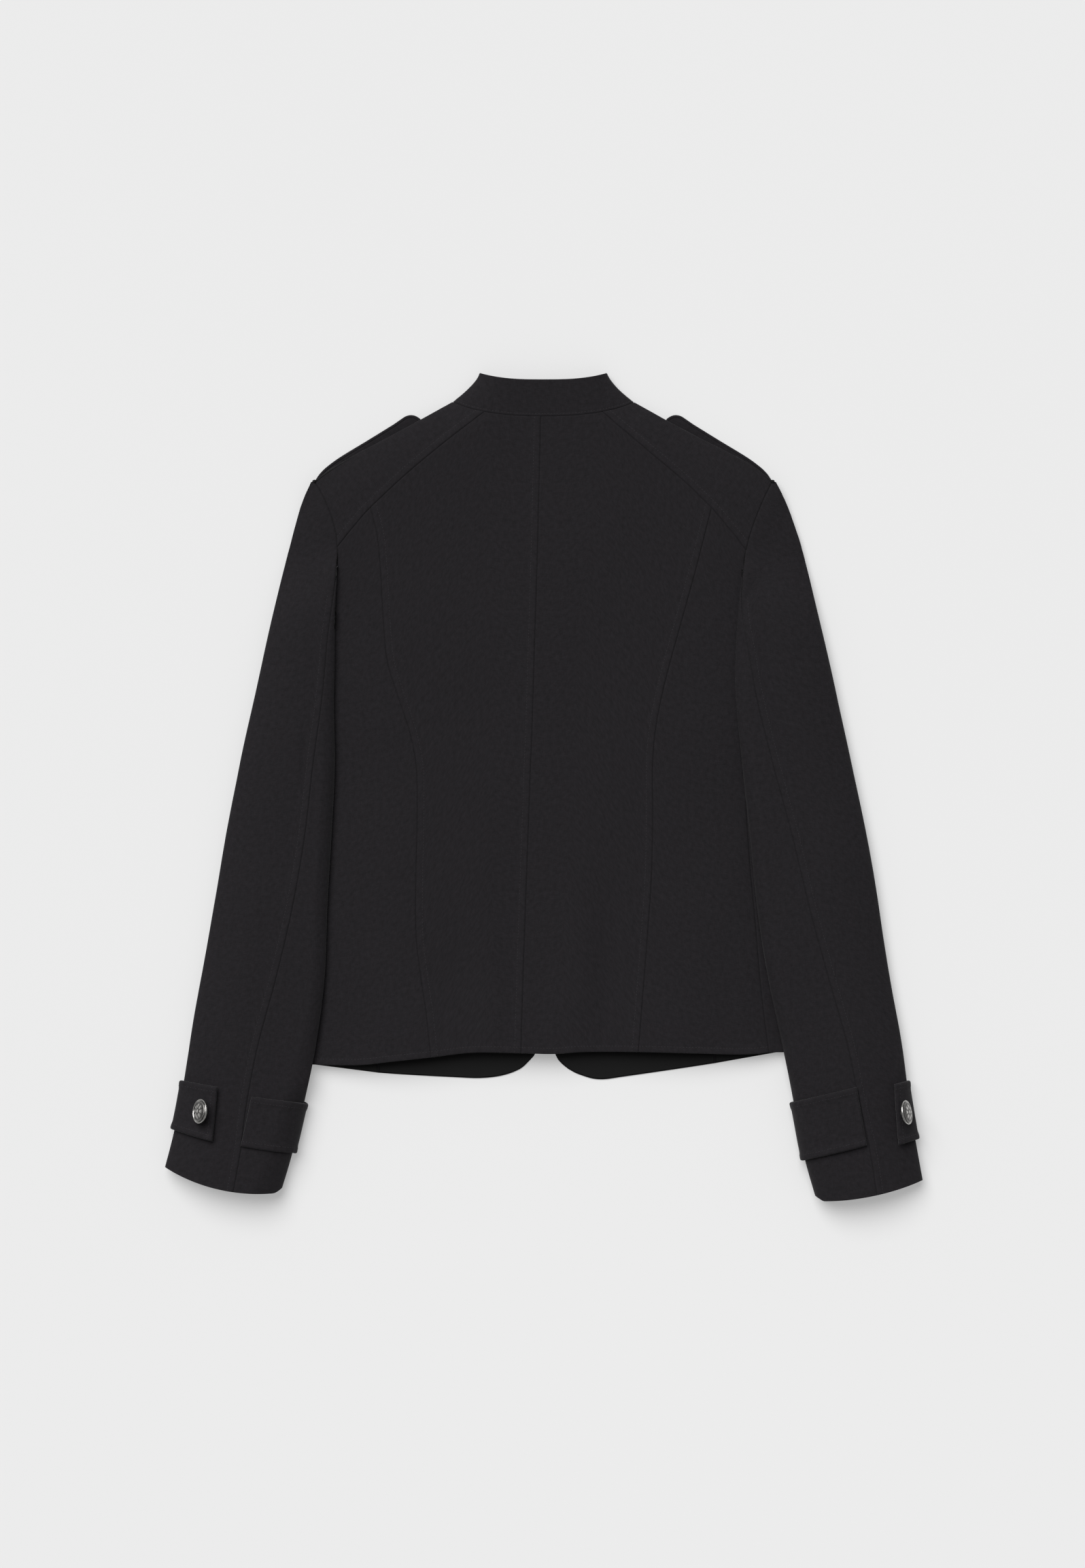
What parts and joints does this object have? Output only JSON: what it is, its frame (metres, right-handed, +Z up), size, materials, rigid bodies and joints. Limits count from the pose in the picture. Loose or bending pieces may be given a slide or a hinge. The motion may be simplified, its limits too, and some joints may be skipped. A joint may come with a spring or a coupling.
{
  "type": "blazer",
  "caption": "Short fitted blazer laid flat on its front: stand collar, shoulder yokes and straps, curved back seams, sleeves with buttoned cuff straps.",
  "frame": {"origin": "middle of the whole laid coat in plan, on the surface it lies on", "axes": "+X towards the right sleeve, +Y towards the collar, +Z up, away from the surface"},
  "size_m": [0.641, 0.701, 0.0405],
  "materials": {
    "cloth": "matt fine crepe, black",
    "button_metal": "silver metal, polished on the dome"
  },
  "bodies": {
    "root": {"back_left": "cloth", "back_right": "cloth", "back_side_left": "cloth", "back_side_right": "cloth", "yoke_left": "cloth", "yoke_right": "cloth", "front_side_left": "cloth", "front_side_right": "cloth", "front_left": "cloth", "front_right": "cloth", "sleeve_left_upper": "cloth", "sleeve_right_upper": "cloth", "sleeve_left_under": "cloth", "sleeve_right_under": "cloth", "cuff_tab_left": "cloth", "cuff_tab_right": "cloth", "cuff_button_left": "button_metal", "cuff_button_right": "button_metal", "epaulette_left": "cloth", "epaulette_right": "cloth", "collar_stand": "cloth"}
  },
  "joints": []
}
